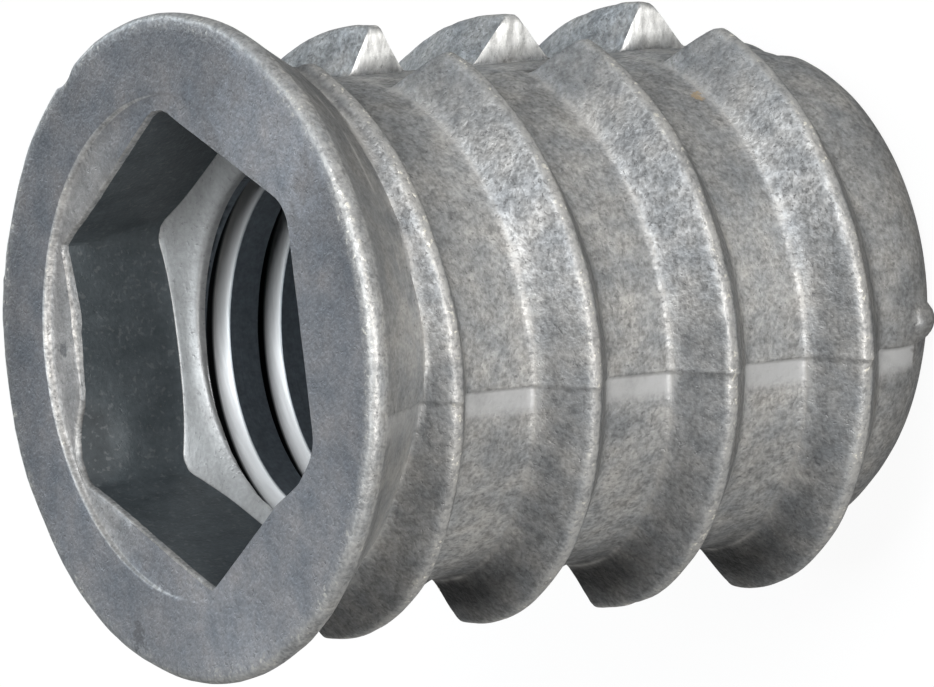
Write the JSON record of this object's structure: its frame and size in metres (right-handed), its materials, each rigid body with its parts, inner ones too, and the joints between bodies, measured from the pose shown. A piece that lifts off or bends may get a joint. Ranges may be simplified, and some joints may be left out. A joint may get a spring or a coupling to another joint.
{
  "type": "threaded insert",
  "caption": "Flanged die-cast insert for wood: hexagon drive socket, coarse outer thread cut by two slots, rounded tail, through hole for a machine screw.",
  "frame": {"origin": "centre of the tail end, the flat ring that the part stands on", "axes": "+Z along the part's axis, from the tail to the flange's face; +X through a corner of the hexagon socket, so the flats of the socket face along Y"},
  "size_m": [0.016, 0.016, 0.0182],
  "materials": {
    "cast_zinc": "matte"
  },
  "bodies": {
    "root": {"insert": "cast_zinc"}
  },
  "joints": []
}
